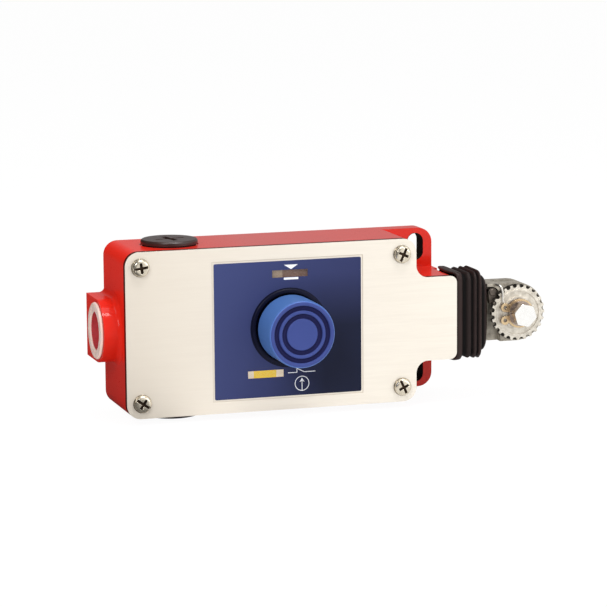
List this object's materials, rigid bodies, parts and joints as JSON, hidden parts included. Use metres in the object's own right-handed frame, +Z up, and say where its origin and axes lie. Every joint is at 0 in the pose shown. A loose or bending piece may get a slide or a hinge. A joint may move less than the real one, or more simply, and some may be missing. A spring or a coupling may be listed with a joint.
{
  "type": "rope pull switch",
  "caption": "Rope pull safety switch: flat cast case with screwed front plate, blue reset button, windows, cable entries, and a booted pull head with ratchet take-up.",
  "frame": {"origin": "midway between the two mounting slots, on the back face of the case", "axes": "+X towards the rope, +Y into the surface that the case is bolted to, +Z up"},
  "size_m": [0.1959, 0.0577, 0.0748],
  "materials": {
    "case_red": "glossy polyester powder coat on a die casting",
    "gasket_rubber": "soft black rubber",
    "plate_steel": "fine brushed, warm off-white",
    "screw_steel": "nickel plated",
    "zinc_yellow": "yellow passivated zinc",
    "zinc_clear": "clear zinc plated",
    "label_navy": "satin film",
    "window_clear": "clear moulded pane",
    "plastic_black": "moulded, satin",
    "plastic_grey": "moulded, satin",
    "cap_white": "translucent film-gated moulding",
    "boot_rubber": "satin moulded rubber",
    "bush_bronze": "sintered, oiled",
    "head_zamak": "shot-blasted zinc casting",
    "shaft_zamak": "machined",
    "wheel_steel": "stamped, nickel plated",
    "plain_steel": "bright drawn",
    "spring_steel": "oil tempered wire",
    "button_blue": "satin elastomer",
    "collar_navy": "glossy",
    "signal_yellow": "moulded, satin"
  },
  "bodies": {
    "case": {"housing": "case_red", "cover_gasket": "gasket_rubber", "cover_plate": "plate_steel", "cover_screws": "screw_steel", "screw_washers": "zinc_yellow", "front_label": "label_navy", "tension_window": "window_clear", "state_window": "window_clear", "indicator_guides": "plastic_black", "top_plug": "plastic_black", "bottom_plug": "plastic_black", "plug_seals": "gasket_rubber", "dust_cap": "cap_white", "guide_bush": "bush_bronze", "boot": "boot_rubber", "main_spring": "spring_steel", "reset_collar": "collar_navy", "collar_nut": "plastic_black", "return_spring": "spring_steel", "latch_pin": "plain_steel", "mechanism_frame": "zinc_clear", "frame_screws": "zinc_clear", "contact_block_top": "plastic_black", "contact_block_bottom": "plastic_black", "terminal_screws": "zinc_clear", "earth_screw": "zinc_yellow"},
    "pull_line": {"pull_rod": "plain_steel", "pull_head": "head_zamak", "rod_pin": "plain_steel", "rod_nut": "zinc_clear", "cam_slide": "plastic_grey", "spring_seat": "plain_steel", "tension_indicator": "signal_yellow", "pawl_pin": "plain_steel", "pawl_spring": "spring_steel"},
    "take_up": {"drum_shaft": "shaft_zamak", "ratchet_wheel": "wheel_steel", "circlip": "zinc_yellow"},
    "pawl_body": {"pawl": "plain_steel"},
    "reset_button": {"reset_cap": "button_blue", "reset_plunger": "plastic_black"},
    "latch": {"latch_lever": "zinc_clear"},
    "flag": {"state_flag": "signal_yellow"},
    "contact_top": {"contact_plunger_top": "signal_yellow"},
    "contact_bottom": {"contact_plunger_bottom": "signal_yellow"}
  },
  "joints": [
    {"name": "pull_slide", "type": "slide", "parent": "case", "child": "pull_line", "axis": [1, 0, 0], "range_m": [0, 0.012], "stiffness_N_per_m": 1500, "deforming": ["boot", "main_spring"]},
    {"name": "take_up_spin", "type": "hinge", "parent": "pull_line", "child": "take_up", "pos_m": [0.0374, -0.0249, 0], "axis": [0, 1, 0], "continuous": true},
    {"name": "pawl_lift", "type": "hinge", "parent": "pull_line", "child": "pawl_body", "pos_m": [0.0267, -0.0317, 0.0089], "axis": [0, 1, 0], "range_deg": [0, 14], "stiffness_Nm_per_rad": 0.05, "deforming": ["pawl_spring"]},
    {"name": "reset_press", "type": "slide", "parent": "case", "child": "reset_button", "axis": [0, 1, 0], "range_m": [0, 0.0045], "stiffness_N_per_m": 900, "deforming": ["return_spring"]},
    {"name": "latch_turn", "type": "hinge", "parent": "case", "child": "latch", "pos_m": [-0.0433, -0.0111, -0.01], "axis": [0, 0, 1], "range_deg": [-11.5, 0]},
    {"name": "flag_shift", "type": "slide", "parent": "case", "child": "flag", "axis": [1, 0, 0], "range_m": [-0.004, 0]},
    {"name": "contact_push_top", "type": "slide", "parent": "case", "child": "contact_top", "axis": [0, 0, 1], "range_m": [0, 0.0032]},
    {"name": "contact_push_bottom", "type": "slide", "parent": "case", "child": "contact_bottom", "axis": [0, 0, -1], "range_m": [0, 0.0032]}
  ],
  "couplings": [
    {"joint": "latch_turn", "follows": "reset_press", "rad_per_m": -42.918},
    {"joint": "flag_shift", "follows": "reset_press", "ratio": -0.8283},
    {"joint": "contact_push_top", "follows": "pull_slide", "ratio": 0.25},
    {"joint": "contact_push_bottom", "follows": "pull_slide", "ratio": 0.25}
  ]
}
